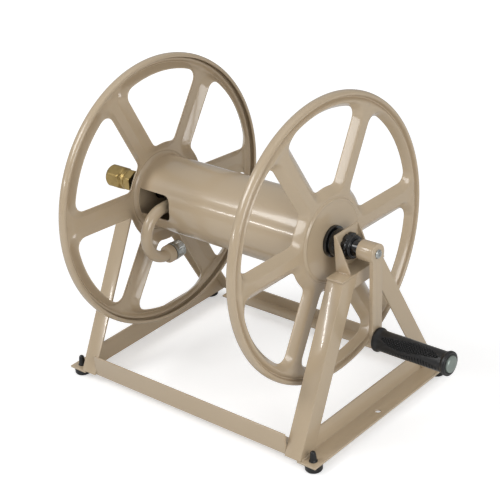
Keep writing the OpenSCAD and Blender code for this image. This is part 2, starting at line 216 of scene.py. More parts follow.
def metal_material(name, light, dark, spots, rough_lo, rough_hi, stretch):
    """Bare metal: cloudy tone, darker spots, a painted glint on the edges, a brushed grain."""
    s = Shade(name)
    cloud = s.noise(45, 5, 0.6)
    tone = s.mix(s.ramp(cloud, 0.35, 0.7), light, dark)
    tone = s.mix(s.ramp(s.noise(220, 3, 0.7), 0.58, 0.75, 0, 0.5), tone, spots)
    highlight_mask, soft = s.edge(0.0006)
    # painted glint: the edges are mixed towards the metal's light tone
    tone = s.mix(s.math("MULTIPLY", highlight_mask, 0.5), tone, light)
    rough = s.ramp(s.noise(120, 4), 0.3, 0.7, rough_lo, rough_hi)
    s.bump(s.noise(500, 3, 0.5, stretch), 0.15, 0.0002, soft)
    return s.set(Base_Color=tone, Roughness=rough, Metallic=1.0)


PAINT = paint_material()
RUBBER = black_material("black_rubber", srgb(20, 20, 21), srgb(28, 28, 29), 0.3, 0.42, 700, 0.2, 0.0)
NYLON = black_material("black_nylon", srgb(14, 14, 15), srgb(22, 22, 24), 0.2, 0.32, 300, 0.08, 0.3)
SHAFT = black_material("black_axle_enamel", srgb(12, 12, 13), srgb(20, 20, 21), 0.14, 0.24,
                       260, 0.06, 0.5)
ZINC = metal_material("zinc_plate", srgb(206, 208, 206), srgb(176, 180, 178), srgb(150, 150, 142),
                      0.2, 0.36, (1, 1, 6))
BRASS = metal_material("dull_brass", srgb(186, 162, 108), srgb(160, 136, 86), srgb(110, 92, 58),
                       0.26, 0.42, (6, 1, 1))


def cap_material():
    """Satin silver-grey moulding of the grip's end cap."""
    s = Shade("grey_end_cap")
    tone = s.mix(s.ramp(s.noise(60, 3), 0.35, 0.65), srgb(136, 146, 139), srgb(150, 159, 153))
    highlight_mask, soft = s.edge(0.0008)
    # painted highlight: the edges are mixed towards a pale silver
    tone = s.mix(s.math("MULTIPLY", highlight_mask, 0.4), tone, srgb(205, 210, 205))
    s.bump(s.noise(500, 2), 0.1, 0.0002, soft)
    rough = s.ramp(s.noise(80, 3), 0.3, 0.7, 0.3, 0.42)
    return s.set(Base_Color=tone, Roughness=rough, Metallic=0.55)


CAP = cap_material()
BODY_OF = {o.name: o["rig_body"] for o in NODES.values()}


# ---------------------------------------------------------------- mesh helpers
MERGE = 2e-6                              # vertices nearer than this, in metres, are one


def piece(name, bm, mat, node=None, body=None, sharp=38):
    """Turns a bmesh into a piece that rides a body and, given a node, stands for it."""
    mesh = bpy.data.meshes.new(name)
    bm.to_mesh(mesh)
    bm.free()
    mesh.materials.append(mat)
    mesh.shade_smooth()
    if sharp:
        mesh.set_sharp_from_angle(angle=math.radians(sharp))
    obj = bpy.data.objects.new(name, mesh)
    bpy.context.scene.collection.objects.link(obj)
    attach(obj, body or BODY_OF[node])
    if node:
        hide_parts(node)
    return obj


def sheet(bm, points, wrap_u=False, wrap_v=False):
    """Adds a grid of quads through points[u][v]."""
    nu, nv = points.shape[:2]
    verts = [bm.verts.new(p) for p in points.reshape(-1, 3)]
    for i in range(nu if wrap_u else nu - 1):
        for j in range(nv if wrap_v else nv - 1):
            i2, j2 = (i + 1) % nu, (j + 1) % nv
            corners = (i * nv + j, i2 * nv + j, i2 * nv + j2, i * nv + j2)
            bm.faces.new([verts[k] for k in corners])


def clean(bm):
    """Merges doubled vertices and turns the faces outward."""
    bmesh.ops.remove_doubles(bm, verts=bm.verts, dist=MERGE)
    bmesh.ops.recalc_face_normals(bm, faces=bm.faces)
    return bm


def facing(bm, face, way):
    """Turns the whole sheet over where this face of it looks against the given way."""
    if face.normal.dot(way) < 0:
        bmesh.ops.reverse_faces(bm, faces=bm.faces)


def from_axle(face):
    """From the axle to the middle of a face, at right angles to the axle."""
    middle = face.calc_center_median()
    return middle - Vector((middle.x, 0, CZ))


def fillet(profile, radius, steps=4, closed=False):
    """Rounds every corner of a profile of (along, radius) points."""
    n = len(profile)
    out = []
    for i, p in enumerate(profile):
        if not closed and i in (0, n - 1):
            out.append(p)
            continue
        a, b = Vector(profile[i - 1]), Vector(profile[(i + 1) % n])
        p = Vector(p)
        cut = min(radius, (a - p).length * 0.45, (b - p).length * 0.45)
        q, r = p + (a - p).normalized() * cut, p + (b - p).normalized() * cut
        for k in range(steps + 1):
            t = k / steps
            out.append(tuple(q * (1 - t) ** 2 + p * 2 * t * (1 - t) + r * t ** 2))
    return out


def turned(profile, origin, axis=X, count=96, closed=False, shape=None, bm=None):
    """A solid of revolution about an axis, from a profile of (along, radius) in mm.

    shape, where it is given, returns the radius at each angle.
    """
    side = Z if abs(axis.z) < 0.5 else X
    u = (side - axis * side.dot(axis)).normalized()
    v = axis.cross(u)
    bm = bm or bmesh.new()
    angles = np.linspace(0, 2 * math.pi, count, endpoint=False)
    rows = []
    for s, r in profile:
        radii = np.full(count, float(r)) if shape is None else shape(s, r, angles)
        base = np.array(origin + axis * s * MM)
        around = np.outer(np.cos(angles) * radii, u) + np.outer(np.sin(angles) * radii, v)
        rows.append(base + around * MM)
    sheet(bm, np.array(rows), closed, True)
    return clean(bm)


def swept(path, radii, bm, count=32, plane_normal=X):
    """A round tube along points that lie in a plane."""
    rows = []
    n = len(path)
    for i, p in enumerate(path):
        t = (path[min(i + 1, n - 1)] - path[max(i - 1, 0)]).normalized()
        side = plane_normal.cross(t).normalized()
        rows.append([p + (side * math.cos(a) + plane_normal * math.sin(a)) * radii[i] * MM
                     for a in np.linspace(0, 2 * math.pi, count, endpoint=False)])
    sheet(bm, np.array(rows), False, True)


def rounded(obj, width, segments, angle):
    """Rounds the edges that are sharper than the angle."""
    mod = obj.modifiers.new("rounded_edges", "BEVEL")
    mod.width = width * MM
    mod.segments = segments
    mod.limit_method = "ANGLE"
    mod.angle_limit = math.radians(angle)
    mod.harden_normals = True


def thickened(obj, name, thickness):
    """Gives a sheet its thickness, inward from the face that is modelled."""
    mod = obj.modifiers.new(name, "SOLIDIFY")
    mod.thickness = thickness * MM
    mod.offset = -1


def softened(node, mat, width):
    """A rounded-edge copy of a flat-sided CAD node, which stands for that node."""
    bm = bmesh.new()
    bm.from_mesh(NODES[node].data)
    bmesh.ops.remove_doubles(bm, verts=bm.verts, dist=MERGE)
    bmesh.ops.dissolve_limit(bm, angle_limit=math.radians(1), verts=bm.verts, edges=bm.edges)
    bmesh.ops.recalc_face_normals(bm, faces=bm.faces)
    obj = piece(node + "_steel", bm, mat, node, sharp=None)
    rounded(obj, width, 3, 40)


# ---------------------------------------------------------------- pressed discs
SHEET = 1.4
SPOKES = 6
SPOKE_W = 41.0
WIN_OUT, WIN_IN = REEL_R - 24, 78.0       # radii of a window's outer and inner edge
WIN_CORNERS = 13.0, 9.0                   # its corner radii, outer and inner
WIN_SPLIT = 12                            # points for each step of its outline
FIELD_OUT, FIELD_IN = REEL_R - 11.5, 64.0  # radii between which the windows lie
SIDE_DEPTH, SIDE_RUN, RIM_RUN = 9.6, 13.0, 9.0  # the sheet's fall to a window, and over what width
WEB_X = DRUM_L + 0.5


def arc(cx, cy, r, a0, a1, n):
    """Points (u, v) on an arc, about a centre."""
    a = np.linspace(a0, a1, n + 1)
    return np.stack([cx + r * np.cos(a), cy + r * np.sin(a)], 1)


def window_outline():
    """Rounded opening between two spokes, about its own centre line."""
    w, h = SPOKE_W / 2, math.pi / SPOKES
    co, ci = WIN_CORNERS
    bo = h - math.asin((w + co) / (WIN_OUT - co))
    bi = h - math.asin((w + ci) / (WIN_IN + ci))
    half = np.concatenate([
        arc(0, 0, WIN_OUT, 0, bo, 24)[:-1],
        arc((WIN_OUT - co) * math.cos(bo), (WIN_OUT - co) * math.sin(bo), co,
            bo, math.pi / 2 + h, 18),
        arc((WIN_IN + ci) * math.cos(bi), (WIN_IN + ci) * math.sin(bi), ci,
            math.pi / 2 + h, math.pi + bi, 14),
        arc(0, 0, WIN_IN, bi, 0, 10)[1:]])
    loop = np.concatenate([half, (half * [1, -1])[::-1][1:-1]])
    step = np.linspace(0, 1, WIN_SPLIT, endpoint=False)[:, None, None]
    return (loop + (np.roll(loop, -1, 0) - loop) * step).transpose(1, 0, 2).reshape(-1, 2)


def outline_distance(points, outline):
    """How far each point lies from a closed outline."""
    a, b = outline, np.roll(outline, -1, 0)
    d = b - a
    rel = points[:, None, :] - a[None]
    t = np.clip((rel * d).sum(2) / (d * d).sum(1), 0, 1)
    return np.sqrt(((rel - t[..., None] * d) ** 2).sum(2)).min(1)


def web_height(r):
    """Outward height of the flat part of the pressing against radius: hub boss, web, ridge."""
    radius = [REEL_R - inward for inward in (26, 22, 18.5, 16, 14, 12.6, 11.5)]
    height = [0, 0.7, 2.1, 2.5, 2.0, 0.6, -1.2]
    return np.interp(r, radius, height)


def pressed_disc(node, side, clock):
    """One pressed disc, its flat side out; clock is how far its spokes are turned, in degrees."""
    outline = window_outline()
    n_out, n_spoke, n_hub = 30, 26, 14
    h = math.pi / SPOKES
    a_out = np.linspace(-h, h, n_out + 1)
    a_hub = np.linspace(h, -h, n_hub + 1)
    r_line = np.linspace(FIELD_OUT, FIELD_IN, n_spoke + 1)[1:-1]
    edge = np.concatenate([
        np.stack([FIELD_OUT * np.cos(a_out), FIELD_OUT * np.sin(a_out)], 1),
        np.stack([r_line * math.cos(h), r_line * math.sin(h)], 1),
        np.stack([FIELD_IN * np.cos(a_hub), FIELD_IN * np.sin(a_hub)], 1),
        np.stack([r_line[::-1] * math.cos(h), -r_line[::-1] * math.sin(h)], 1)])
    centre = np.array([(WIN_OUT + WIN_IN) / 2 + 6, 0])
    rel = outline - centre
    ang, dist = np.arctan2(rel[:, 1], rel[:, 0]), np.hypot(rel[:, 0], rel[:, 1])
    order = np.argsort(ang)
    ray = edge - centre
    reach = np.interp(np.arctan2(ray[:, 1], ray[:, 0]), ang[order], dist[order], period=2 * math.pi)
    start = centre + ray / np.hypot(ray[:, 0], ray[:, 1])[:, None] * reach[:, None]
    steps = [0, 0.07, 0.16, 0.27, 0.38, 0.48, 0.56, 0.61, 0.66, 0.73, 0.86, 1]
    rings = np.array([start + (edge - start) * t for t in steps])
    flat = rings.reshape(-1, 2)
    d = outline_distance(flat, outline)
    d[:len(edge)] = 0
    radius = np.hypot(flat[:, 0], flat[:, 1])
    run = np.interp(radius, [WIN_OUT - 14, WIN_OUT + 2], [SIDE_RUN, RIM_RUN])
    fall = 1 - np.clip(d / run, 0, 1)
    height = web_height(radius) - SIDE_DEPTH * (0.75 * fall + 0.25 * fall ** 2)
    turn = math.radians(clock)

    def place(u, v, x, phi):
        y = u * np.sin(phi) + v * np.cos(phi)
        z = u * np.cos(phi) - v * np.sin(phi)
        return np.stack([CX + side * (WEB_X + x) * MM, y * MM, CZ + z * MM], -1)

    bm = bmesh.new()
    for i in range(SPOKES):
        pts = place(flat[:, 0], flat[:, 1], height, turn + i * 2 * h)
        sheet(bm, pts.reshape(len(steps), len(edge), 3), False, True)
    # rim, (inward from the edge, height): valley, rolled bead and the edge curled back in
    rim = [(11.5, -1.2), (10.6, -2.7), (9.6, -3.5), (8.7, -3.2), (8.1, -1.6), (7.3, 0.8), (6.6, 2.1),
           (5.6, 2.8), (4.2, 3.0), (2.7, 2.4), (1.3, 0.9), (0.4, -1.2), (0, -3.6), (0, -6.4),
           (0.6, -9.2), (2.0, -11.2), (4.0, -11.9), (5.8, -11.2), (6.8, -9.8)]
    rim = [(REEL_R - inward, x) for inward, x in rim]
    # hub, (radius, height): groove, raised ring and the flat boss
    hub = [(FIELD_IN, 0), (63.2, -0.2), (62.2, -0.3), (61.2, 0.3), (60.4, 1.6), (59.4, 2.2),
           (58.2, 2.1), (57.2, 1.6), (55.5, 1.5), (48, 1.5), (36, 1.5), (24, 1.5), (12.2, 1.5)]
    all_out = np.concatenate([a_out[:-1] + i * 2 * h for i in range(SPOKES)])
    all_hub = np.concatenate([a_hub[:-1] + i * 2 * h for i in range(SPOKES)])
    all_hub.sort()
    for rows, angles in ((rim, all_out), (hub, all_hub)):
        pts = np.array([place(r * np.cos(angles), r * np.sin(angles), np.full(len(angles), x), turn)
                        for r, x in rows])
        sheet(bm, pts, False, True)
    clean(bm)
    boss = next(f for f in bm.faces if from_axle(f).length < 30 * MM)
    facing(bm, boss, X * side)
    obj = piece(node + "_pressing", bm, PAINT, node, sharp=None)
    thickened(obj, "sheet", SHEET)
    smooth = obj.modifiers.new("subdivision", "SUBSURF")
    smooth.levels = smooth.render_levels = 1


pressed_disc("disc_right", 1, 1)
pressed_disc("disc_left", -1, 5)


# ---------------------------------------------------------------- drum with its cut-out
CUT_LONG, CUT_HALF, CUT_CORNER, CUT_MID = 68.0, 20.0, 12.0, 4.0


def drum():
    """Rolled tube, its cut-out open at the left end and rounded at the other."""
    cut_end = -DRUM_L + CUT_LONG
    half, corner = CUT_HALF, CUT_CORNER

    def opening(x):
        if x <= cut_end - corner:
            return half
        k = min(x - (cut_end - corner), corner)
        return half - corner + math.sqrt(max(corner ** 2 - k ** 2, 0))

    xs = list(np.linspace(-DRUM_L, cut_end - corner, 8))
    xs += [cut_end - corner + corner * math.sin(a) for a in np.linspace(0, math.pi / 2, 13)[1:]]
    closed_from = len(xs) - 1
    xs += list(np.linspace(cut_end, DRUM_L, 25)[1:])
    n_long, n_short = 150, 8

    def point(x, angle):
        return [CX + x * MM, -math.cos(angle) * DRUM_R * MM, CZ + math.sin(angle) * DRUM_R * MM]

    main, patch = [], []
    for i, x in enumerate(xs):
        w = opening(x)
        top, low = math.asin((CUT_MID + w) / DRUM_R), math.asin((CUT_MID - w) / DRUM_R)
        main.append([point(x, a) for a in np.linspace(top, low + 2 * math.pi, n_long)])
        if i >= closed_from:
            patch.append([point(x, a) for a in np.linspace(low, top, n_short)])
    bm = bmesh.new()
    sheet(bm, np.array(main))
    sheet(bm, np.array(patch))
    clean(bm)
    bm.faces.ensure_lookup_table()
    facing(bm, bm.faces[0], from_axle(bm.faces[0]))
    obj = piece("drum_tube", bm, PAINT, "drum", sharp=None)
    thickened(obj, "wall", 2)
    rounded(obj, 0.5, 2, 50)


drum()

# ---------------------------------------------------------------- stand
for name in ("rail_left", "rail_right", "rail_front", "rail_rear", "leg_front_left", "leg_rear_left",
             "leg_front_right", "leg_rear_right", "brace_left", "brace_right"):
    softened(name, PAINT, 0.7)
for name in ("bracket_left", "bracket_right"):
    softened(name, PAINT, 0.6)
softened("crank", PAINT, 0.8)
FOOT_R = 13.0


def feet():
    """Four pushed-in rubber feet: pad, neck in the rail's hole, retaining bulb and tail."""
    lo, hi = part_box("feet")
    r = FOOT_R
    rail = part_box("rail_left")[0].z / MM
    top = hi.z / MM
    profile = [(0, 0), (0, r - 2.4), (0.8, r - 1.2), (2.6, r - 0.3), (rail * 0.45, r - 0.5),
               (rail - 2.2, r - 0.2), (rail - 0.3, r - 0.9), (rail, r - 2.0), (rail, 5), (rail + 3, 5),
               (rail + 3.05, 6.3), (rail + 4.4, 6.2), (rail + 5.6, 5.2), (top - 3.2, 4.1),
               (top - 1.4, 3.5), (top, 2.0), (top, 0)]
    bm = bmesh.new()
    for x in (lo.x + r * MM, hi.x - r * MM):
        for y in (lo.y + r * MM, hi.y - r * MM):
            turned(fillet(profile, 0.5, 2), Vector((x, y, 0)), Z, 56, bm=bm)
    piece("rubber_feet", bm, RUBBER, "feet")


feet()


WELD_STEP, WELD_RIPPLE = 1.1, 0.13


def weld(name, a, b, r):
    """A rippled weld bead along a straight seam of the stand."""
    n = max(14, int((b - a).length / MM / WELD_STEP))
    t = (b - a).normalized()
    side = t.cross(Z if abs(t.z) < 0.9 else X).normalized()
    path, radii = [], []
    for i in range(n + 1):
        f = i / n
        path.append(a.lerp(b, f))
        fade = math.sqrt(max(0.0, 1 - (2 * f - 1) ** 8))
        radii.append(r * max(fade, 0.02) * (1 + WELD_RIPPLE * math.cos(i * 2.1)))
    bm = bmesh.new()
    swept(path, radii, bm, 14, side)
    piece(name, clean(bm), PAINT, body="stand", sharp=None)


# ---------------------------------------------------------------- bearings and axle
def ring(name, node, mat, outer, bore, edge=0.8, count=96, shape=None):
    """A turned ring: outer profile of (x, r), bored straight through."""
    x0, x1 = outer[0][0], outer[-1][0]
    loop = [(x0, bore)] + outer + [(x1, bore)]
    bm = turned(fillet(loop, edge, 3, True), at(0, 0, 0), X, count, True, shape)
    piece(name, bm, mat, node)


AXLE_R = 12.0
HUB_X = DRUM_L + 2
BUSH_R = AXLE_R + 0.08
NECK_R = 14.5                             # the bushing's neck, in the bracket and the nut


def span(node):
    """Near and far end of a node from the middle of the axle, whichever side it is on."""
    return sorted(abs(end_x(node, side)) for side in (0, 1))


def lobes(x, r, angles):
    """Eight shallow grip notches round the nut's rim."""
    if r < 17.6:
        return np.full(len(angles), float(r))
    near = np.abs((np.degrees(angles) + 22.5) % 45 - 22.5)
    return r - 1.7 * np.clip(1 - (near / 8.5) ** 2, 0, 1)


for tag, s in (("right", 1), ("left", -1)):
    near, far = span("bushing_" + tag)
    plate = span("bracket_" + tag)[0]
    nut = span("bushing_nut_" + tag)[0]
    ring("bushing_" + tag + "_nylon", "bushing_" + tag, NYLON,
         [(s * near, 19.0), (s * (near + 1.4), 20), (s * (near + 6.8), 20), (s * (near + 7.4), 19.5),
          (s * (near + 8), 20), (s * plate, 20), (s * plate, NECK_R), (s * (far + 0.6), NECK_R)],
         BUSH_R)
    ring("bushing_nut_" + tag + "_nylon", "bushing_nut_" + tag, NYLON,
         [(s * nut, 18.6), (s * (nut + 1), 19.2), (s * (nut + 6.6), 19.2), (s * (nut + 8.4), 17.4),
          (s * (far - 1.2), 16.8), (s * far, 15.8)], NECK_R + 0.02, 0.7, 144, lobes)

ARM_OUT = end_x("crank", 1)
LEFT_END = end_x("axle_left", 0)
shoulder = [(HUB_X, 23), (HUB_X + 4.6, 22.6), (HUB_X + 5, 17.4), (HUB_X + 6.7, 16.6),
            (HUB_X + 6.7, AXLE_R)]
right = [(DRUM_L - 12, 0), (DRUM_L - 12, AXLE_R), (HUB_X, AXLE_R)] + shoulder
right += [(ARM_OUT - 6.2, AXLE_R), (ARM_OUT - 6.2, 0)]
piece("axle_right_shaft", turned(fillet(right, 0.5, 3), at(0, 0, 0), X, 96), SHAFT, "axle_right")
left = [(end_x("axle_left", 1), 7.5), (end_x("axle_left", 1), AXLE_R), (-HUB_X, AXLE_R)]
left += [(-x, r) for x, r in shoulder] + [(LEFT_END, AXLE_R), (LEFT_END, 7.5)]
piece("axle_left_shaft", turned(fillet(left, 0.5, 3, True), at(0, 0, 0), X, 96, True), SHAFT,
      "axle_left")


CROWN_R, RECESS_TURN, RECESS_DEPTH = 3.4, 0.35, 1.5


def crank_screw():
    """Pan-head screw with a cross recess pressed into the crown."""
    seat = ARM_OUT
    profile = [(seat - 14, 0), (seat - 14, 3), (seat - 0.2, 3), (seat, 6.6), (seat + 1.0, 6.6),
               (seat + 1.9, 6.1), (seat + 2.6, 5.0), (seat + 3.0, CROWN_R)]
    bm = turned(fillet(profile, 0.4, 3), at(0, 0, 0), X, 64)
    rows = []
    angles = np.linspace(0, 2 * math.pi, 64, endpoint=False)
    turn = angles - RECESS_TURN
    for r in np.linspace(0, CROWN_R, 18)[::-1]:
        p, q = np.abs(r * np.cos(turn)), np.abs(r * np.sin(turn))
        deep = (np.clip((0.75 - np.minimum(p, q)) / 0.3, 0, 1)
                * np.clip((3.0 - np.maximum(p, q)) / 0.5, 0, 1))
        x = seat + 3.0 + 0.35 * (1 - (r / CROWN_R) ** 2) - RECESS_DEPTH * deep
        rows.append(np.stack([CX + x * MM, -np.sin(angles) * r * MM,
                              CZ + np.cos(angles) * r * MM], 1))
    sheet(bm, np.array(rows), False, True)
    piece("crank_screw_head", clean(bm), ZINC, "crank_screw", sharp=50)


crank_screw()

# ---------------------------------------------------------------- grip
spin_lo, spin_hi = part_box("grip")
GRIP_O = Vector((CX, (spin_lo.y + spin_hi.y) / 2, (spin_lo.z + spin_hi.z) / 2))
GRIP_A, GRIP_B = end_x("grip", 0), end_x("grip", 1)


GRIP_R = 14.9                             # the smooth band
LEAF_AT, RIBS_AT = 0.72, 1.95             # angles of the two panels from straight up, in radians
LEAF_W, RIBS_W = 0.62, 0.42               # their half widths, in radians
KNURL, RIB = 4.4, 4.6                     # pitches, in mm


def panel(angle, half, soft, t):
    """1 inside a panel and 0 outside it, with a soft edge; t runs from 0 to 1 along it."""
    return np.clip((half - np.abs(angle)) / soft, 0, 1) * (1 if 0 < t < 1 else 0)


def bulge(t, power):
    """Width of a panel along its length, pointed at both ends."""
    return max(0.0, math.sin(math.pi * min(max(t, 0), 1))) ** power


def grip():
    """Moulded rubber sleeve with a flange at each end.

    A knurled leaf panel and a ribbed panel, each twice, with a smooth band between them.
    """
    length = GRIP_B - GRIP_A
    lead = fillet([(GRIP_A, 5.1), (GRIP_A, 16.8), (GRIP_A + 1.2, 17.5), (GRIP_A + 4.4, 17.5),
                   (GRIP_A + 8, 15.4), (GRIP_A + 13, GRIP_R)], 0.9, 4)
    tail = fillet([(GRIP_B - 13, GRIP_R), (GRIP_B - 8, 15.4), (GRIP_B - 4.8, 17.5),
                   (GRIP_B - 1.4, 17.5), (GRIP_B, 16.8), (GRIP_B, 12.8), (GRIP_B - 2.5, 12.6),
                   (GRIP_B - 2.5, 5.1)], 0.9, 4)
    body = [(s, GRIP_R) for s in np.linspace(GRIP_A + 13, GRIP_B - 13, 330)[1:-1]]
    count = 360

    def moulded(s, r, angles):
        radii = np.full(count, float(r))
        if not (GRIP_A + 9 < s < GRIP_B - 9) or r < 14.5:
            return radii
        t = (s - GRIP_A - 12) / (length - 24)
        t_ribs = (t - 0.02) / 0.96
        bend = 0.16 * math.sin(2 * math.pi * t)
        wave = 0.5 + 0.5 * math.cos(2 * math.pi * s / RIB)
        # angles run from straight up, as turned() starts at +Z and goes towards -Y about +X
        for turn in (0.0, math.pi):
            a = (angles - turn + math.pi) % (2 * math.pi) - math.pi
            leaf = panel(a - (LEAF_AT + bend), LEAF_W * bulge(t, 0.55), 0.05, t)
            p, q = (np.abs(((s + sign * a * 15) / KNURL) % 1 - 0.5) * 2 for sign in (1, -1))
            knurl = np.clip(np.minimum(p, q) * 1.7, 0, 1) - 0.78
            ribs = panel(a - (RIBS_AT + bend), RIBS_W * bulge(t_ribs, 0.4), 0.06, t_ribs)
            radii = radii + leaf * knurl * 2.0 + ribs * (min(1.0, wave * 1.4) - 0.8) * 2.2
        return radii

    bm = turned(lead + body + tail, GRIP_O, X, count, True, moulded)
    piece("grip_rubber", bm, RUBBER, "grip", sharp=60)


grip()
tip = end_x("grip_cap", 1)
piece("grip_end_cap", turned(fillet(
    [(GRIP_B - 2.2, 5.0), (GRIP_B - 2.2, 12.2), (GRIP_B + 0.9, 12.2), (GRIP_B + 2.3, 11.5),
     (GRIP_B + 3.5, 10.0), (GRIP_B + 4.2, 7.4), (tip - 0.25, 4.2), (tip, 1.8), (tip, 0)], 0.7, 4),
    GRIP_O, X, 96), CAP, "grip_cap")
arm_in = ARM_OUT - 6.5
piece("grip_spindle_pin", turned(fillet(
    [(arm_in - 2.5, 0), (arm_in - 2.5, 5.2), (arm_in - 1.6, 7), (arm_in, 7), (arm_in, 4), (ARM_OUT, 4),
     (ARM_OUT, 9), (ARM_OUT + 0.7, 9), (ARM_OUT + 0.7, 5), (GRIP_B + 0.9, 5), (GRIP_B + 0.9, 0)], 0.3, 3),
    GRIP_O, X, 64), ZINC, "grip_spindle")

# ---------------------------------------------------------------- water path
GX = sum((v.x - CX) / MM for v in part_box("gooseneck")) / 2       # plane of the gooseneck
OUTLET = at(GX, 0, -sum((CZ - v.z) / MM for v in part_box("hose_connector")) / 2)
BEND_R = (CZ - OUTLET.z) / MM / 2
BEND_Y = -50                              # where the bend starts and ends
PIPE_R, PIPE_WALL = 8.8, 1.6


def gooseneck():
    """Bent outlet pipe with a collar near its lower end."""
    path = [at(GX, y, 0) for y in np.linspace(-13, BEND_Y, 10)]
    path += [at(GX, BEND_Y - BEND_R * math.sin(a), -BEND_R + BEND_R * math.cos(a))
             for a in np.linspace(0, math.pi, 49)[1:]]
    path += [at(GX, y, -2 * BEND_R) for y in np.linspace(BEND_Y, -36, 5)[1:]]
    bm = bmesh.new()
    for radius in (PIPE_R, PIPE_R - PIPE_WALL):
        swept(path, [radius] * len(path), bm, 48)
    turned(fillet([(-53, 9.2), (-52.2, 12.4), (-50.5, 13.4), (-43, 13.5), (-41, 13.1), (-41, 8.7)],
                  0.8, 4), OUTLET, Y, 72, bm=bm)
    piece("gooseneck_pipe", clean(bm), PAINT, "gooseneck", sharp=50)


gooseneck()
THREAD = 2.2                              # pitch of the hose thread
OUTLET_R, INLET_R = 13.1, 13.3            # crest of the outlet's thread, wall of the inlet's bore


def tooth(s, angles):
    """Height of a thread, 0 to 1, at a place along it and round it."""
    phase = (s / THREAD - angles / (2 * math.pi)) % 1
    return np.clip(1.5 - 3 * np.abs(phase - 0.5), 0, 1)


def dense(x0, x1, r):
    """Closely spaced points along a straight wall, for a thread."""
    return [(float(s), r) for s in np.arange(x0, x1, 0.18)]


def hose_connector():
    """Outlet nipple with its hose thread."""
    x0, x1 = -33.6, -22.3
    outer = fillet([(-39.5, 8.9), (-39.5, 13.5), (-38.9, 13.7), (-34.4, 13.7), (-34, OUTLET_R)],
                   0.4, 3)
    outer += dense(-33.8, -22.6, OUTLET_R)
    outer += [(-22.4, 12.9), (-22, 12.3), (-22, 7.2), (-22.4, 6.8)]
    outer += [(-35.6, 6.8), (-36, 7.0), (-36, 8.9)]

    def thread(s, r, angles):
        if r <= 12.9 or not x0 < s < x1:
            return np.full(len(angles), float(r))
        fade = min(1.0, (s - x0) / 1.2, (x1 - s) / 1.2)
        return r - 0.95 * fade * (1 - tooth(s, angles))

    bm = turned(outer, OUTLET, Y, 96, True, thread)
    piece("hose_connector_thread", bm, ZINC, "hose_connector", sharp=50)


hose_connector()
piece("connector_seal", turned(fillet(
    [(-41, 8.9), (-41, 12.6), (-40.3, 12.9), (-39.5, 12.6), (-39.5, 8.9)], 0.4, 3, True),
    OUTLET, Y, 72, True), RUBBER, "connector_washer")

BODY_X = end_x("swivel_body", 1)
BODY_END = BODY_X - 15
INLET_X = BODY_END - 0.5
INLET_END = end_x("swivel_inlet", 0)


def hexagon(least, flat, widen=1.0):
    """A shape that cuts every radius from least upward to a six-sided bar."""
    def shape(s, r, angles):
        if r < least:
            return np.full(len(angles), float(r))
        near = np.degrees(angles) % 60 - 30
        return np.minimum(flat / np.cos(np.radians(near) * widen), r)
    return shape


def swivel():
    """Brass body on the axle's end, and the hexagonal coupling that turns on its spigot."""
    loop = [(BODY_X, AXLE_R), (BODY_X, 15.2), (BODY_X - 0.6, 17.4), (BODY_X - 11.2, 17.4),
            (BODY_X - 12, 15.0), (BODY_X - 12.3, 14.5), (BODY_END + 0.4, 14.5), (BODY_END, 14.0),
            (BODY_END, 9.0), (BODY_END - 19, 9.0), (BODY_END - 19, 11.0), (BODY_END - 21, 11.0),
            (BODY_END - 21, 6.0), (BODY_X - 13, 6.0), (BODY_X - 13, AXLE_R)]
    bm = turned(fillet(loop, 0.4, 3, True), at(0, 0, 0), X, 144, True, hexagon(17, 15.6))
    piece("swivel_body_brass", bm, BRASS, "swivel_body", sharp=32)

    outer = fillet([(INLET_X, 9.1), (INLET_X, 13.6), (INLET_X - 0.8, 14.5), (INLET_X - 5.6, 14.5),
                    (INLET_X - 6.4, 15.4), (INLET_X - 9.6, 18.2), (INLET_X - 11, 18.5),
                    (INLET_X - 30, 18.5), (INLET_X - 32.4, 17.9), (INLET_X - 35, 16.2),
                    (INLET_END, 15.2), (INLET_END, 13.5)], 0.9, 4)
    bore = dense(INLET_END + 0.3, INLET_X - 24.6, INLET_R)
    seat = [(INLET_X - 24.4, 12.3), (INLET_X - 22.5, 12.3), (INLET_X - 22.5, 11.4),
            (INLET_X - 18, 11.4), (INLET_X - 18, 9.1)]
    coupling = hexagon(16.6, 16.9, 0.93)

    def shape(s, r, angles):
        if abs(r - INLET_R) < 0.01:
            return r + 0.75 * (1 - tooth(s, angles))
        return coupling(s, r, angles)

    bm = turned(outer + bore + seat, at(0, 0, 0), X, 144, True, shape)
    piece("swivel_coupling", bm, BRASS, "swivel_inlet", sharp=32)


swivel()
SEAL_BORE = 7.6
for name, node, radius in (("swivel_seal_ring", "swivel_seal", 9.0),
                           ("inlet_seal", "inlet_washer", 12.2)):
    a, b = end_x(node, 0), end_x(node, 1)
    loop = fillet([(a, SEAL_BORE), (a, radius), (b, radius), (b, SEAL_BORE)], 0.35, 3, True)
    piece(name, turned(loop, at(0, 0, 0), X, 72, True), RUBBER, node)


def supply_elbow():
    """Zinc elbow inside the drum, from the hollow axle to the gooseneck."""
    bm = bmesh.new()
    turned(fillet([(-30, 12.2), (-30, 15), (-2, 15), (4, 14.2), (9, 11), (12.5, 6.5), (14, 0)], 2.5, 4),
           at(GX, 0, 0), X, 72, bm=bm)
    turned(fillet([(0, 0), (-2, 13), (-22, 13), (-26, 12.4), (-26, 8.9)], 1.0, 4),
           at(GX, 0, 0), Y, 72, bm=bm)
    piece("supply_elbow_casting", bm, ZINC, "supply_elbow")


supply_elbow()

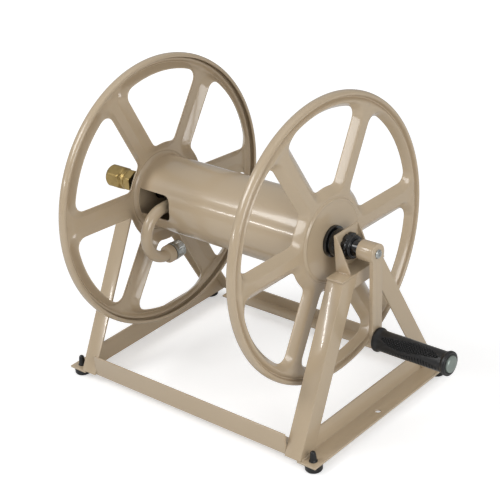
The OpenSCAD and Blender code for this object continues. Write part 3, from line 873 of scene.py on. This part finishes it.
# ---------------------------------------------------------------- weld beads
PLATE = span("bracket_right")[0]
BRACE_TOP = (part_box("brace_right")[1].z - CZ) / MM
RAIL_TOP = (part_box("rail_left")[0].z - CZ) / MM + 3
SEAM_R = 7.0                              # how far the seam runs along the drum
for tag, s in (("right", 1), ("left", -1)):
    for end, y in (("front", -1), ("rear", 1)):
        z = BRACE_TOP + 0.4
        weld(f"weld_gusset_{tag}_{end}", at(s * (PLATE + 4), y * 26.8, z),
             at(s * (PLATE + 21), y * 26.8, z), 1.7)
        leg_lo, leg_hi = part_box(f"leg_{end}_{tag}")
        foot_y = leg_lo.y / MM if end == "front" else leg_hi.y / MM
        x, z = s * (PLATE + 28.4), RAIL_TOP + 0.4
        weld(f"weld_leg_{tag}_{end}", at(x, foot_y - y * 3, z), at(x, foot_y - y * 27, z), 1.8)
    seam = [(s * (DRUM_L - SEAM_R + SEAM_R * math.sin(t)), DRUM_R + 5.5 * (1 - math.cos(t)) + 0.05)
            for t in np.linspace(0, math.pi / 2, 9)]
    seam += [(s * DRUM_L, DRUM_R - 1), (s * (DRUM_L - SEAM_R), DRUM_R - 1)]
    piece("drum_seam_" + tag, turned(seam, at(0, 0, 0), X, 120, True), PAINT, body="reel", sharp=60)


# ---------------------------------------------------------------- floor, world and light
FLOOR_SIDE, FLOOR_CELLS = 30, 24
FLOOR_GLOW = 0.46                         # the floor's own white near the reel; it is 1 far off
WORLD_LOW, WORLD_TOP = 0.29, 0.55
KEY, FILL, TOP, STRIP = 18.0, 21.0, 3.5, 3.0
WHITE = (1, 1, 1, 1)


def direct_rays(tree):
    """1 for the rays that see the plain white: camera and transmission rays."""
    path = tree.nodes.new("ShaderNodeLightPath")
    either = tree.nodes.new("ShaderNodeMath")
    either.operation = "MAXIMUM"
    tree.links.new(path.outputs["Is Camera Ray"], either.inputs[0])
    tree.links.new(path.outputs["Is Transmission Ray"], either.inputs[1])
    return either.outputs[0]


def map_range(tree, source, *values):
    """Map Range node: from low, from high, to low, to high."""
    node = tree.nodes.new("ShaderNodeMapRange")
    tree.links.new(source, node.inputs[0])
    for i, value in enumerate(values):
        node.inputs[i + 1].default_value = value
    return node.outputs[0]


def floor():
    """Plain pale floor that keeps the shadow and turns white further off."""
    line = (np.arange(FLOOR_CELLS + 1) / FLOOR_CELLS - 0.5) * FLOOR_SIDE
    bm = bmesh.new()
    sheet(bm, np.array([[[x, y, 0.0] for y in line] for x in line]))
    for f in bm.faces:
        if f.normal.z < 0:
            f.normal_flip()
    mesh = bpy.data.meshes.new("floor")
    bm.to_mesh(mesh)
    bm.free()
    obj = bpy.data.objects.new("floor", mesh)
    bpy.context.scene.collection.objects.link(obj)
    mat = bpy.data.materials.new("white_floor")
    mat.use_nodes = True
    tree = mat.node_tree
    tree.nodes.clear()
    out = tree.nodes.new("ShaderNodeOutputMaterial")
    diff = tree.nodes.new("ShaderNodeBsdfDiffuse")
    diff.inputs["Color"].default_value = (0.8, 0.8, 0.8, 1)
    glow = tree.nodes.new("ShaderNodeEmission")
    glow.inputs["Color"].default_value = WHITE
    coord = tree.nodes.new("ShaderNodeTexCoord")
    reach = tree.nodes.new("ShaderNodeVectorMath")
    reach.operation = "LENGTH"
    tree.links.new(coord.outputs["Object"], reach.inputs[0])
    gain = tree.nodes.new("ShaderNodeMath")
    gain.operation = "MULTIPLY"
    tree.links.new(direct_rays(tree), gain.inputs[0])
    tree.links.new(map_range(tree, reach.outputs["Value"], 0.7, 3.5, FLOOR_GLOW, 1.0), gain.inputs[1])
    tree.links.new(gain.outputs[0], glow.inputs["Strength"])
    add = tree.nodes.new("ShaderNodeAddShader")
    tree.links.new(diff.outputs[0], add.inputs[0])
    tree.links.new(glow.outputs[0], add.inputs[1])
    tree.links.new(add.outputs[0], out.inputs["Surface"])
    mesh.materials.append(mat)


def world():
    """White behind the reel; a soft light that grows towards the zenith on it."""
    w = bpy.data.worlds.new("studio")
    bpy.context.scene.world = w
    w.use_nodes = True
    tree = w.node_tree
    tree.nodes.clear()
    out = tree.nodes.new("ShaderNodeOutputWorld")
    soft = tree.nodes.new("ShaderNodeBackground")
    white = tree.nodes.new("ShaderNodeBackground")
    for background in (soft, white):
        background.inputs["Color"].default_value = WHITE
    white.inputs["Strength"].default_value = 1.0
    coord = tree.nodes.new("ShaderNodeTexCoord")
    split = tree.nodes.new("ShaderNodeSeparateXYZ")
    tree.links.new(coord.outputs["Generated"], split.inputs[0])
    lift = map_range(tree, split.outputs[2], -0.1, 0.9, WORLD_LOW, WORLD_TOP)
    tree.links.new(lift, soft.inputs["Strength"])
    mix = tree.nodes.new("ShaderNodeMixShader")
    tree.links.new(direct_rays(tree), mix.inputs[0])
    tree.links.new(soft.outputs[0], mix.inputs[1])
    tree.links.new(white.outputs[0], mix.inputs[2])
    tree.links.new(mix.outputs[0], out.inputs["Surface"])


def lamp(name, direction, distance, size, energy):
    """A rectangular lamp that looks at the middle of the reel."""
    light = bpy.data.lights.new(name, "AREA")
    light.shape = "RECTANGLE"
    light.size, light.size_y = size
    light.energy = energy
    obj = bpy.data.objects.new(name, light)
    away = Vector(direction).normalized()
    obj.location = Vector((0, 0, 0.25)) + away * distance
    obj.rotation_euler = away.to_track_quat("Z", "Y").to_euler()
    bpy.context.scene.collection.objects.link(obj)


floor()
world()
lamp("key", (-0.45, -0.6, 0.7), 2.4, (0.9, 0.9), KEY)
lamp("strip", (-0.55, -0.79, 0.25), 2.4, (0.5, 0.08), STRIP)
lamp("fill", (0.9, -0.35, 0.35), 2.4, (1.4, 1.0), FILL)
lamp("top", (0.15, 0.1, 1), 2.2, (1.6, 1.6), TOP)

bpy.context.scene.view_settings.view_transform = "Standard"
